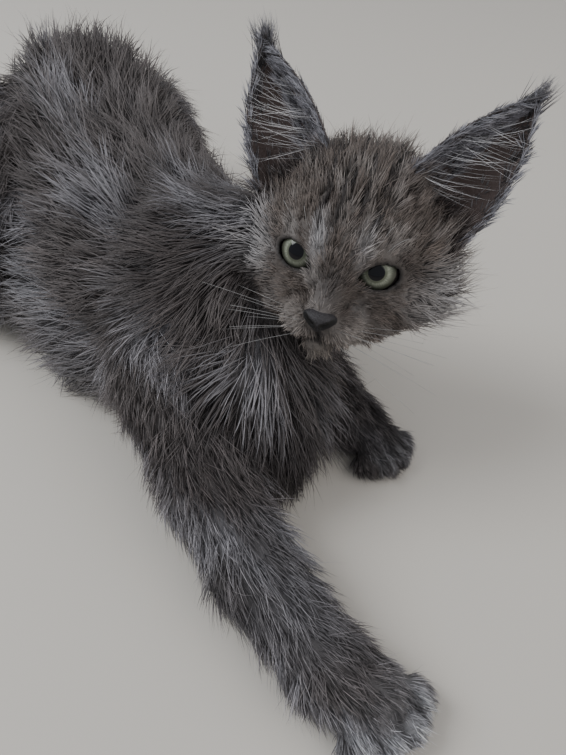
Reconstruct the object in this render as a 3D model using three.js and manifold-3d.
// A long-haired kitten lying on the floor, life size, as a still museum model.
// Millimetres, +Z up. +X is the way the chest faces, +Y is the kitten's left.
// The origin is the floor point under the front of the chest.
import * as THREE from "three";
import { mergeVertices } from "three/addons/utils/BufferGeometryUtils.js";
import Module from "manifold-3d";

const wasm = await Module();
wasm.setup();

// Driving sizes
const GAP = 0.4; // clear space between two nodes that touch
const HEAD_AT = [1, 39, 90];
const HEAD_TURN = { yaw: -54, pitch: 15, roll: -5 }; // degrees
const EYE = { x: 11.6, y: 12.7, z: 3.6, radius: 8.6 }; // in the head's own frame
const EYE_OPEN = { wide: 6.0, high: 4.4 }; // half sizes of the gap between the lids
const COAT = { torso: 7, neck: 5, head: 4.5, leg: 4, paw: 3, thigh: 5.5, tail: 6 }; // solid part of the coat over the skin
const SEED = 77;
const COLOURS = { coat: 0x4a4648, pale: 0x7d7a7c, iris: 0xa9b096, leather: 0x2b282b };

// Bones of the pose: [x, y, z, radius of the skin]
const SPINE = [
  [-16, 4, 38, 25], [-48, 8, 44, 32], [-92, 8, 46, 35], [-135, 12, 46, 35],
  [-180, 20, 50, 38], [-212, 32, 56, 37], [-236, 40, 48, 28],
];
const BELLY = [[-52, -12, 26, 22], [-95, -18, 24, 26], [-140, -20, 26, 28]];
const BREAST = { at: [-4, 0, 22], radius: 25 };
const NECK = [[-42, 18, 60, 30], [-26, 33, 77, 19]];
const FORELEG_R = [[-30, -20, 42, 20], [10, -30, 24, 13], [45, -34, 17, 10.5], [84, -33, 13, 9.5]];
const FOREPAW_R = [[84, -33, 12, 9.5], [99, -28, 9.5, 10]];
const FORETOES_R = [[106, -16, 7], [110, -23, 7.5], [109, -31, 7.5], [104, -38, 7]];
const FORELEG_L = [[-30, 32, 40, 19], [-32, 44, 20, 13], [-6, 40, 14, 9], [12, 40, 11, 8]];
const FOREPAW_L = [[12, 40, 9.5, 8], [27, 42, 8, 7.4]];
const FORETOES_L = [[33, 49, 6], [36, 44.5, 6.2], [36, 38.5, 6.2], [32, 34, 6]];
const HINDLEG_R = [[-200, -14, 58, 32], [-166, -52, 36, 22], [-204, -84, 18, 13]];
const HINDPAW_R = [[-207, -88, 12, 9], [-172, -104, 9, 8.8]];
const HINDTOES_R = [[-160, -101, 6.5], [-158, -107, 6.8], [-160, -113, 6.8], [-165, -118, 6.5]];
const HINDLEG_L = [[-205, 58, 46, 28], [-170, 62, 30, 20]];
const HINDPAW_L = [[-176, 76, 11, 9], [-146, 70, 9, 8.2]];
const HINDTOES_L = [[-137, 62, 6.3], [-134, 67.5, 6.6], [-134, 73.5, 6.6], [-137, 79, 6.3]];
const TAIL = [[-255, 40, 34, 12], [-300, 44, 20, 10], [-345, 25, 16, 9], [-378, -15, 15, 8], [-388, -62, 14, 6]];

const vec = (p) => new THREE.Vector3(p[0], p[1], p[2]);

// The head's frame: x to the nose, y to its left, z to the crown.
const headMatrix = new THREE.Matrix4().compose(
  vec(HEAD_AT),
  new THREE.Quaternion()
    .setFromAxisAngle(new THREE.Vector3(0, 0, 1), THREE.MathUtils.degToRad(HEAD_TURN.yaw))
    .multiply(new THREE.Quaternion().setFromAxisAngle(new THREE.Vector3(0, 1, 0), THREE.MathUtils.degToRad(-HEAD_TURN.pitch)))
    .multiply(new THREE.Quaternion().setFromAxisAngle(new THREE.Vector3(1, 0, 0), THREE.MathUtils.degToRad(HEAD_TURN.roll))),
  new THREE.Vector3(1, 1, 1),
);

// Distance fields: each takes a THREE.Vector3 and returns millimetres, negative inside.
function blend(a, b, k) {
  const h = Math.max(k - Math.abs(a - b), 0) / k;
  return Math.min(a, b) - (h * h * k) / 4;
}

function taper(p, a, b, ra, rb) {
  const abx = b[0] - a[0], aby = b[1] - a[1], abz = b[2] - a[2];
  const px = p.x - a[0], py = p.y - a[1], pz = p.z - a[2];
  const t = THREE.MathUtils.clamp((px * abx + py * aby + pz * abz) / (abx * abx + aby * aby + abz * abz), 0, 1);
  return Math.hypot(px - t * abx, py - t * aby, pz - t * abz) - (ra + t * (rb - ra));
}

function ball(p, c, r) {
  const x = (p.x - c[0]) / r[0], y = (p.y - c[1]) / r[1], z = (p.z - c[2]) / r[2];
  const k0 = Math.hypot(x, y, z);
  return (k0 * (k0 - 1)) / Math.max(Math.hypot(x / r[0], y / r[1], z / r[2]), 1e-6);
}

function limb(bones, coat, k) {
  return (p) => {
    let d = taper(p, bones[0], bones[1], bones[0][3] + coat, bones[1][3] + coat);
    for (let i = 1; i < bones.length - 1; i++)
      d = blend(d, taper(p, bones[i], bones[i + 1], bones[i][3] + coat, bones[i + 1][3] + coat), k);
    return d;
  };
}

function paw(bones, toes, coat) {
  const palm = limb(bones, coat, 6);
  const heel = bones[bones.length - 1];
  return (p) => {
    let d = palm(p);
    for (const [x, y, z] of toes) {
      const root = [(x + heel[0]) / 2, (y + heel[1]) / 2, z + 1.5];
      d = blend(d, taper(p, root, [x, y, z], 4.6 + coat, 4.4 + coat), 2.5);
    }
    return d;
  };
}

function headField(w) {
  const p = w.clone().applyMatrix4(headInverse);
  const c = COAT.head, m = 1.5; // the coat is short on the muzzle
  let d = ball(p, [-7, 0, 7], [26 + c, 24.5 + c, 21.5 + c]);
  d = blend(d, ball(p, [6, 0, 5], [15 + c, 17.5 + c, 14.5 + c]), 8);
  for (const s of [1, -1]) {
    d = blend(d, ball(p, [2, s * 15, -6], [13.5 + c, 12.5 + c, 12.5 + c]), 7);
    d = blend(d, ball(p, [10, s * 13, -13], [11 + m, 9 + m, 9 + m]), 6);
    d = blend(d, ball(p, [22, s * 6.2, -15.8], [7.6 + m, 7 + m, 5.4 + m]), 3);
  }
  d = blend(d, taper(p, [14, 0, 4], [28, 0, -9], 7.5 + m, 4.6 + m), 6);
  return blend(d, taper(p, [2, 0, -15], [23, 0, -22], 11 + m, 4.4 + m), 5);
}
const headInverse = headMatrix.clone().invert();

// A closed mesh of a field's surface: one point for each grid cell that the surface crosses, moved onto
// the surface, and one quad for each grid edge that it crosses.
function surface(field, lo, hi, cell) {
  const n = [0, 1, 2].map((i) => Math.ceil((hi[i] - lo[i]) / cell) + 1);
  const at = (i, j, k) => i + n[0] * (j + n[1] * k);
  const value = new Float32Array(n[0] * n[1] * n[2]);
  const p = new THREE.Vector3();
  for (let k = 0; k < n[2]; k++)
    for (let j = 0; j < n[1]; j++)
      for (let i = 0; i < n[0]; i++)
        value[at(i, j, k)] = field(p.set(lo[0] + i * cell, lo[1] + j * cell, lo[2] + k * cell));
  const points = [], faces = [], indexOf = new Map();
  for (let k = 0; k < n[2] - 1; k++)
    for (let j = 0; j < n[1] - 1; j++)
      for (let i = 0; i < n[0] - 1; i++) {
        const sum = new THREE.Vector3();
        let crossings = 0;
        for (let a = 0; a < 8; a++)
          for (let axis = 0; axis < 3; axis++) {
            if (a & (1 << axis)) continue;
            const b = a | (1 << axis);
            const ia = [i + (a & 1), j + ((a >> 1) & 1), k + (a >> 2)];
            const ib = [i + (b & 1), j + ((b >> 1) & 1), k + (b >> 2)];
            const va = value[at(...ia)], vb = value[at(...ib)];
            if (va < 0 === vb < 0) continue;
            const t = va / (va - vb);
            sum.x += lo[0] + cell * (ia[0] + t * (ib[0] - ia[0]));
            sum.y += lo[1] + cell * (ia[1] + t * (ib[1] - ia[1]));
            sum.z += lo[2] + cell * (ia[2] + t * (ib[2] - ia[2]));
            crossings++;
          }
        if (!crossings) continue;
        indexOf.set(at(i, j, k), points.length);
        const centre = sum.divideScalar(crossings);
        points.push(centre.addScaledVector(outward(field, centre), -field(centre)));
      }
  for (let k = 1; k < n[2] - 1; k++)
    for (let j = 1; j < n[1] - 1; j++)
      for (let i = 1; i < n[0] - 1; i++)
        for (let axis = 0; axis < 3; axis++) {
          const b = [i, j, k];
          b[axis]++;
          const inA = value[at(i, j, k)] < 0, inB = value[at(...b)] < 0;
          if (inA === inB) continue;
          const u = (axis + 1) % 3, v = (axis + 2) % 3;
          const quad = [[0, 0], [1, 0], [1, 1], [0, 1]].map(([du, dv]) => {
            const c = [i, j, k];
            c[u] -= du;
            c[v] -= dv;
            return indexOf.get(at(...c));
          });
          if (inB) quad.reverse();
          faces.push([quad[0], quad[1], quad[2]], [quad[0], quad[2], quad[3]]);
        }
  return { points, faces };
}

function outward(field, p) {
  const e = 0.5, q = p.clone(), g = new THREE.Vector3();
  for (const axis of ["x", "y", "z"]) {
    q[axis] += e;
    g[axis] = field(q);
    q[axis] -= 2 * e;
    g[axis] -= field(q);
    q[axis] += e;
  }
  return g.normalize();
}

// Closed mesh data to a solid, and back to a three.js geometry.
function solid({ points, faces }) {
  const vertProperties = new Float32Array(points.flatMap((p) => [p.x, p.y, p.z]));
  return new wasm.Manifold(new wasm.Mesh({ numProp: 3, vertProperties, triVerts: new Uint32Array(faces.flat()) }));
}

function solidOf(geometry) {
  const plain = geometry.clone();
  plain.deleteAttribute("normal");
  plain.deleteAttribute("uv");
  const merged = mergeVertices(plain, 1e-4);
  return new wasm.Manifold(
    new wasm.Mesh({ numProp: 3, vertProperties: merged.attributes.position.array, triVerts: new Uint32Array(merged.index.array) }),
  );
}

function geometryOf(s) {
  const m = s.getMesh(), v = new Float32Array(m.numVert * 3);
  for (let i = 0; i < m.numVert; i++) v.set(m.vertProperties.subarray(i * m.numProp, i * m.numProp + 3), i * 3);
  const g = new THREE.BufferGeometry()
    .setAttribute("position", new THREE.BufferAttribute(v, 3))
    .setIndex(new THREE.BufferAttribute(m.triVerts, 1));
  // Cuts leave slivers shorter than 0.02 mm: their ends become one point.
  const merged = mergeVertices(g, 0.02), kept = [];
  for (let i = 0; i < merged.index.count; i += 3) {
    const [a, b, c] = [0, 1, 2].map((j) => merged.index.getX(i + j));
    if (a !== b && b !== c && c !== a) kept.push(a, b, c);
  }
  return merged.setIndex(kept);
}

// A field's solid at two sizes: its own, and grown by the gap as a cutter for its neighbours.
// The bones say how far the field can reach.
function flesh(field, bones, coat, cell) {
  const room = (i, way) => way * Math.max(...bones.map((b) => way * b[i] + b[3] + coat + 2 * cell));
  const lo = [0, 1, 2].map((i) => room(i, -1)), hi = [0, 1, 2].map((i) => room(i, 1));
  const own = surface(field, lo, hi, cell);
  const grown = { points: own.points.map((p) => p.clone().addScaledVector(outward(field, p), GAP)), faces: own.faces };
  return { own: solid(own), grown: solid(grown) };
}

// One lock of the coat: flat, tapered and bent. It starts inside the body at root, rises along normal and
// runs along lie. bend moves its tip sideways. grow makes it thicker all round, as a cutter.
function lock({ root, normal, lie, length, width, rise, thick = 4, bend = 0, sunk = 5 }, grow = 0) {
  const along = lie.clone().addScaledVector(normal, -lie.dot(normal)).normalize();
  const side = along.clone().cross(normal).normalize();
  const at = (t) => root.clone()
    .addScaledVector(normal, -sunk + (rise + sunk) * (1 - (1 - t) * (1 - t)))
    .addScaledVector(along, length * (t - 0.12) + (t === 1 ? grow : 0))
    .addScaledVector(side, bend * t * t);
  const points = [], faces = [];
  for (const [t, w] of [[0, 0.75], [0.4, 1], [0.75, 0.66]]) {
    const up = normal.clone().addScaledVector(along, -0.8 * rise * (1 - t) / Math.max(length, 1)).normalize();
    const c = at(t), half = (width * w) / 2 + grow, deep = (thick * w) / 2 + grow;
    points.push(c.clone().addScaledVector(side, half), c.clone().addScaledVector(up, deep));
    points.push(c.clone().addScaledVector(side, -half), c.clone().addScaledVector(up, -deep));
  }
  points.push(at(1));
  const quad = (a, b, c, d) => faces.push([a, b, c], [a, c, d]);
  for (let r = 0; r < 8; r += 4)
    for (let i = 0; i < 4; i++) quad(r + i, r + 4 + i, r + 4 + ((i + 1) % 4), r + ((i + 1) % 4));
  for (let i = 0; i < 4; i++) faces.push([8 + i, 12, 8 + ((i + 1) % 4)]);
  quad(0, 1, 2, 3);
  const made = solid({ points, faces });
  return made.volume() > 0 ? made : solid({ points, faces: faces.map(([a, b, c]) => [a, c, b]) });
}

let drawn = SEED;
function random(lo, hi) {
  drawn = (drawn * 16807) % 2147483647;
  return lo + ((hi - lo) * drawn) / 2147483647;
}

// The place on a field's surface straight out from an inner point.
function onSurface(field, from, way) {
  const p = from.clone();
  for (let i = 0; i < 60; i++) {
    const d = field(p);
    if (d > -0.05) break;
    p.addScaledVector(way, Math.max(-d * 0.9, 0.1));
  }
  return p;
}

// Locks in rings along a chain of bones, with the lie of the coat towards the chain's end.
// Angles are in degrees: 0 is to the left of the way the chain runs, 90 is up.
function rings(field, bones, count, [from, to], [first, last], around, size) {
  const path = new THREE.CatmullRomCurve3(bones.map(vec)), made = [];
  for (let j = 0; j < count; j++)
    for (let i = 0; i < around; i++) {
      const u = from + ((to - from) * (j + random(0.25, 0.75))) / count;
      const turn = first + ((last - first) * (i + (j % 2 ? 0.15 : 0.65) + random(0, 0.2))) / around;
      const tangent = path.getTangent(u), left = new THREE.Vector3(0, 0, 1).cross(tangent).normalize();
      const a = THREE.MathUtils.degToRad(turn);
      const way = left.multiplyScalar(Math.cos(a)).addScaledVector(new THREE.Vector3(0, 0, 1), Math.sin(a)).normalize();
      const root = onSurface(field, path.getPoint(u), way), normal = outward(field, root);
      const lie = tangent.clone().addScaledVector(new THREE.Vector3(0, 0, -1), size.fall ?? 0.2);
      made.push({ root, normal, lie, length: size.length * random(0.85, 1.15), width: size.width * random(0.85, 1.15),
        rise: size.rise * random(0.8, 1.1), thick: size.thick, bend: random(-0.2, 0.2) * size.length, sunk: size.sunk });
    }
  return made;
}

const floorBox = solidOf(new THREE.BoxGeometry(1200, 1200, 200).translate(0, 0, -100));
function largest(s) {
  return s.decompose().sort((a, b) => b.volume() - a.volume())[0];
}

// One node: its pieces joined, cut clear of its neighbours and of the floor.
function joined(pieces, cutters = []) {
  let s = pieces.reduce((a, b) => a.add(b));
  for (const c of cutters) s = s.subtract(c);
  return largest(s.subtract(floorBox));
}

const root = new THREE.Group();
const materials = {};
for (const [name, colour] of Object.entries(COLOURS))
  materials[name] = new THREE.MeshStandardMaterial({ color: colour, roughness: name === "iris" ? 0.1 : 0.85, metalness: 0 });
function addNode(name, s, material = "coat") {
  const mesh = new THREE.Mesh(geometryOf(s), materials[material]);
  mesh.name = name;
  root.add(mesh);
}

// Bodies of flesh
const spineField = limb(SPINE, COAT.torso, 16), bellyField = limb(BELLY, COAT.torso * 0.7, 12);
const torsoField = (p) => blend(blend(spineField(p), bellyField(p), 16), ball(p, BREAST.at, [BREAST.radius, BREAST.radius, BREAST.radius]), 12);
const torso = flesh(torsoField, [...SPINE, ...BELLY, [...BREAST.at, BREAST.radius]], COAT.torso, 15);
const neck = flesh(limb(NECK, COAT.neck, 8), NECK, COAT.neck, 8);
const head = flesh(headField, [[...HEAD_AT, 41]], 0, 6);
const toeBones = (bones, toes) => [...bones, ...toes.map((t) => [...t, 5])];
const limbs = (bones, coat, cell) => flesh(limb(bones, coat, 8), bones, coat, cell);
const paws = (bones, toes, cell) => flesh(paw(bones, toes, COAT.paw), toeBones(bones, toes), COAT.paw, cell);
const foreleg = { R: limbs(FORELEG_R, COAT.leg, 9), L: limbs(FORELEG_L, COAT.leg, 9) };
const forepaw = { R: paws(FOREPAW_R, FORETOES_R, 5.6), L: paws(FOREPAW_L, FORETOES_L, 5.6) };
const hindleg = { R: limbs(HINDLEG_R, COAT.thigh, 13), L: limbs(HINDLEG_L, COAT.thigh, 13) };
const hindpaw = { R: paws(HINDPAW_R, HINDTOES_R, 6.5), L: paws(HINDPAW_L, HINDTOES_L, 6.5) };
const tail = limbs(TAIL, COAT.tail, 10);

// Eyes, lids and nose, placed in the head's frame.
const inHead = (geometry) => solidOf(geometry.applyMatrix4(headMatrix));
function eyeball(side, grow) {
  return inHead(new THREE.SphereGeometry(EYE.radius + grow, 14, 9).translate(EYE.x, side * EYE.y, EYE.z));
}
function eyeOpening(side) {
  const cut = new THREE.SphereGeometry(1, 12, 8).rotateX(0.2).scale(11.3, EYE_OPEN.wide, EYE_OPEN.high);
  return inHead(cut.rotateX(side * -0.12).rotateZ(side * 0.25).translate(EYE.x + 8, side * (EYE.y + 1), EYE.z));
}
function lids(side) {
  const ring = new THREE.TorusGeometry(1, 0.16, 4, 14).rotateY(Math.PI / 2), at = ring.attributes.position;
  const reach = EYE.radius + 1.1;
  for (let i = 0; i < at.count; i++) {
    const y = at.getY(i) * (EYE_OPEN.wide + 0.9), z = at.getZ(i) * (EYE_OPEN.high + 0.9);
    at.setXYZ(i, Math.sqrt(reach * reach - y * y - z * z) + at.getX(i) * 8 - 0.2, y, z);
  }
  return inHead(ring.rotateX(side * -0.12).rotateZ(side * 0.25).translate(EYE.x, side * EYE.y, EYE.z));
}
function socket(side) {
  return inHead(new THREE.SphereGeometry(EYE.radius + 1.6, 10, 7).translate(EYE.x, side * EYE.y, EYE.z));
}
function nosePad(grow) {
  const g = new THREE.SphereGeometry(1, 12, 8), at = g.attributes.position;
  for (let i = 0; i < at.count; i++) {
    const z = at.getZ(i), narrow = 0.62 + 0.38 * THREE.MathUtils.clamp(z + 0.4, -0.4, 1) ;
    at.setXYZ(i, at.getX(i) * (3.6 + grow), at.getY(i) * (5.6 * narrow + grow), z * (3.6 + grow));
  }
  return inHead(g.translate(31.2, 0, -11));
}
function rod(points, radius) {
  const path = new THREE.CatmullRomCurve3(points.map(vec));
  const section = new THREE.Shape().absarc(0, 0, radius, 0, Math.PI * 2, false);
  return inHead(new THREE.ExtrudeGeometry(section, { steps: 4, curveSegments: 3, bevelEnabled: false, extrudePath: path }));
}
const mouth = [
  rod([[33, 0, -14], [34, 0, -17], [33, 0, -20]], 0.6),
  ...[1, -1].map((s) => rod([[33.5, 0, -19.5], [32.5, s * 4, -22], [28, s * 9, -22.5], [21, s * 12.5, -20]], 0.7)),
];
const nostrils = [1, -1].map((s) => inHead(new THREE.SphereGeometry(1, 7, 5).scale(1.6, 1.0, 0.8).rotateX(s * 0.5).translate(34.4, s * 2.5, -11.2)));

// An ear: a thin cup between an inner rim and an outer rim that meet at the tip.
const EAR = { inner: [-4, 11, 28], outer: [-8, 36, 8], tip: [-12.5, 43, 57], cup: 10, thick: 2.2 };
function ear(side, grow) {
  const [a, b, t] = [EAR.inner, EAR.outer, EAR.tip].map(vec);
  const front = b.clone().sub(a).cross(t.clone().sub(a)).normalize();
  if (front.x < 0) front.negate();
  const across = 6, up = 6, points = [], faces = [];
  for (const layer of [0, 1])
    for (let j = 0; j <= up; j++)
      for (let i = 0; i <= across; i++) {
        const v = -0.22 + (1.22 * j) / up, u = (2 * i) / across - 1, w = Math.min(v, 0.96);
        const inner = a.clone().lerp(t, w).addScaledVector(new THREE.Vector3(0, -0.45, 0.9), 4 * Math.sin(Math.PI * Math.max(w, 0)));
        const outer = b.clone().lerp(t, w).addScaledVector(new THREE.Vector3(0, 1, 0), 3.5 * Math.sin(Math.PI * Math.max(w, 0)));
        const depth = EAR.cup * (1 - u * u) * (1 - 0.75 * Math.max(w, 0));
        const thick = (EAR.thick * (1 - 0.45 * u * u) * (1 - 0.4 * Math.max(w, 0))) / 2 + grow;
        const p = inner.lerp(outer, (u + 1) / 2).addScaledVector(front, -depth + (layer ? thick : -thick));
        if (grow) p.addScaledVector(new THREE.Vector3(0, u * 0.6, -u * 0.6), grow);
        points.push(new THREE.Vector3(p.x, side * p.y, p.z).applyMatrix4(headMatrix));
      }
  const wide = across + 1, per = wide * (up + 1);
  const quad = (p, q, r, s) => faces.push([p, q, r], [p, r, s]);
  for (let j = 0; j < up; j++)
    for (let i = 0; i < across; i++) {
      const c = j * wide + i;
      quad(c, c + 1, c + 1 + wide, c + wide);
      quad(per + c, per + c + wide, per + c + wide + 1, per + c + 1);
    }
  const edge = [];
  for (let i = 0; i < across; i++) edge.push(i);
  for (let j = 0; j < up; j++) edge.push(j * wide + across);
  for (let i = across; i > 0; i--) edge.push(up * wide + i);
  for (let j = up; j > 0; j--) edge.push(j * wide);
  edge.forEach((e, i) => {
    const f = edge[(i + 1) % edge.length];
    quad(e, per + e, per + f, f);
  });
  let made = solid({ points, faces });
  if (made.volume() < 0) made = solid({ points, faces: faces.map(([p, q, r]) => [p, r, q]) });
  return made;
}

// Locks on the head, in its own frame, and toe tufts.
const turned = (v) => v.clone().transformDirection(headMatrix);
function headLock(from, way, lie, size) {
  const start = vec(from).applyMatrix4(headMatrix), root = onSurface(headField, start, turned(vec(way).normalize()));
  return { root, normal: outward(headField, root), lie: turned(vec(lie).normalize()), ...size, bend: random(-2, 2) };
}
const headLocks = [];
for (const s of [1, -1]) {
  for (let i = 0; i < 7; i++) {
    const a = THREE.MathUtils.degToRad(14 - i * 15 + random(-3, 3));
    const size = { length: random(19, 24) - i, width: 12, rise: 10 - i * 0.6, thick: 3.6, sunk: 4 };
    headLocks.push(headLock([-4, s * 8, -2], [0, s * Math.cos(a), Math.sin(a)], [-0.6, s * 0.7, -0.35 - i * 0.05], size));
    if (i % 2) headLocks.push(headLock([-16, s * 8, 0], [-0.25, s * Math.cos(a), Math.sin(a)], [-0.8, s * 0.6, -0.5], size));
  }
  headLocks.push(headLock([-6, s * 4, 5], [-0.2, s * 0.2, 1], [-0.7, s * 0.2, 0.9], { length: 12, width: 9, rise: 6, thick: 3, sunk: 4 }));
}
function earLocks(side) {
  const put = (from, lie, length, width) => ({
    root: new THREE.Vector3(from[0], side * from[1], from[2]).applyMatrix4(headMatrix),
    normal: turned(new THREE.Vector3(1, 0, 0)),
    lie: turned(new THREE.Vector3(lie[0], side * lie[1], lie[2]).normalize()),
    length, width, rise: 2.5, thick: 1.8, sunk: 2.2, bend: random(-1.5, 1.5),
  });
  // The tip tuft grows out of the middle of the cup, a little below the tip.
  const [a, b, t] = [EAR.inner, EAR.outer, EAR.tip].map(vec), near = 0.92;
  const front = b.clone().sub(a).cross(t.clone().sub(a)).normalize();
  if (front.x < 0) front.negate();
  const middle = a.clone().add(b).multiplyScalar(0.5).lerp(t, near).addScaledVector(front, -EAR.cup * (1 - 0.75 * near));
  const tuft = { ...put(middle.toArray(), [-0.06, 0.42, 0.9], 16, 6), rise: 0.3, sunk: 0, thick: 2.4, bend: 0 };
  return [
    tuft,
    put([-6, 15, 29], [0.1, 0.75, 0.65], 24, 7),
    put([-5.5, 14, 22], [0.2, 0.95, 0.3], 27, 8),
    put([-6, 17, 17], [0.2, 1, -0.05], 24, 8),
  ];
}
const toeTufts = (toes, way) => toes.slice(0, 3).map(([x, y, z], i) => ({
  root: new THREE.Vector3((x + toes[i + 1][0]) / 2, (y + toes[i + 1][1]) / 2, Math.max(z - 1.5, 4)),
  normal: new THREE.Vector3(0, 0, 1), lie: vec(way), length: 15, width: 5, rise: 0.5, thick: 3, sunk: 1, bend: random(-1, 1),
}));

// Every node's core, then its locks. A core is cut clear of the cores before it. Locks are cut clear of all
// other cores and of the locks before them.
const balls = { left: 1, right: -1 };
for (const [word, s] of Object.entries(balls)) addNode("eye_" + word, eyeball(s, 0), "iris");
addNode("nose", joined([nosePad(0)], nostrils), "leather");
const skull = joined([head.own, socket(1), socket(-1)], [1, -1].flatMap((s) => [eyeball(s, GAP), eyeOpening(s)]));
const headCore = joined([skull, lids(1), lids(-1)], [eyeball(1, GAP), eyeball(-1, GAP), nosePad(GAP), ...mouth, torso.grown]);
const coat = {
  torso: rings(torsoField, SPINE, 7, [0.04, 0.96], [-25, 205], 7, { length: 40, width: 21, rise: 7, thick: 5, fall: 0.3 }),
  neck: rings(limb(NECK, COAT.neck, 8), [...NECK].reverse(), 2, [0.1, 0.9], [-70, 230], 7, { length: 24, width: 15, rise: 6, thick: 4, fall: 0.8 }),
  head: headLocks,
  foreleg_right: rings(limb(FORELEG_R, COAT.leg, 8), FORELEG_R, 5, [0.25, 0.9], [150, 260], 2, { length: 20, width: 10, rise: 3, thick: 3, sunk: 3 }),
  foreleg_left: rings(limb(FORELEG_L, COAT.leg, 8), FORELEG_L, 2, [0.3, 0.8], [-40, 40], 2, { length: 16, width: 9, rise: 3, thick: 3, sunk: 3 }),
  hindleg_right: rings(limb(HINDLEG_R, COAT.thigh, 8), HINDLEG_R, 3, [0.35, 0.95], [-30, 150], 3, { length: 26, width: 15, rise: 6, thick: 4 }),
  hindleg_left: rings(limb(HINDLEG_L, COAT.thigh, 8), [...HINDLEG_L].reverse(), 2, [0.15, 0.8], [110, 230], 3, { length: 26, width: 15, rise: 6, thick: 4 }),
  tail: rings(limb(TAIL, COAT.tail, 8), TAIL, 5, [0.1, 0.98], [-20, 200], 4, { length: 36, width: 14, rise: 8, thick: 4, fall: 0.1 }),
  forepaw_right: toeTufts(FORETOES_R, [1, 0, -0.1]),
  forepaw_left: toeTufts(FORETOES_L, [1, 0, -0.1]),
  hindpaw_right: toeTufts(HINDTOES_R, [1, -0.3, -0.1]),
  hindpaw_left: toeTufts(HINDTOES_L, [1, -0.1, -0.1]),
  ear_left: earLocks(1),
  ear_right: earLocks(-1),
};
// The bib: locks on the front of the chest that hang down and forward.
for (let i = 0; i < 10; i++) {
  const a = THREE.MathUtils.degToRad(-62 + 31 * (i % 5) + random(-6, 6)), z = i < 5 ? 0.25 : -0.3;
  const root = onSurface(torsoField, new THREE.Vector3(-16, 3, 36), new THREE.Vector3(Math.cos(a), Math.sin(a), z).normalize());
  const lie = new THREE.Vector3(0.3 * Math.cos(a), 0.3 * Math.sin(a), -1);
  coat.torso.push({ root, normal: outward(torsoField, root), lie, length: 20, width: 14, rise: 6, thick: 4, bend: random(-3, 3) });
}
const cores = [
  ["torso", torso], ["head", { own: headCore, grown: head.grown.add(lids(1)).add(lids(-1)) }], ["neck", neck],
  ["foreleg_left", foreleg.L], ["foreleg_right", foreleg.R], ["forepaw_left", forepaw.L], ["forepaw_right", forepaw.R],
  ["hindleg_left", hindleg.L], ["hindleg_right", hindleg.R], ["hindpaw_left", hindpaw.L], ["hindpaw_right", hindpaw.R],
  ["tail", tail], ["ear_left", { own: ear(1, 0), grown: ear(1, GAP) }], ["ear_right", { own: ear(-1, 0), grown: ear(-1, GAP) }],
];
const lockCutters = [];
cores.forEach(([name, part], i) => {
  const core = joined([part.own], cores.slice(0, i).map(([, other]) => other.grown));
  const others = cores.filter(([other]) => other !== name).map(([, other]) => other.grown);
  const locks = wasm.Manifold.union(coat[name].map((l) => lock(l)));
  const clear = [...others, ...lockCutters, eyeball(1, 2), eyeball(-1, 2), nosePad(1)].reduce((a, c) => a.subtract(c), locks);
  addNode(name, joined([core, clear]), name.startsWith("ear") ? "pale" : "coat");
  lockCutters.push(wasm.Manifold.union(coat[name].map((l) => lock(l, GAP))));
});

export default root;
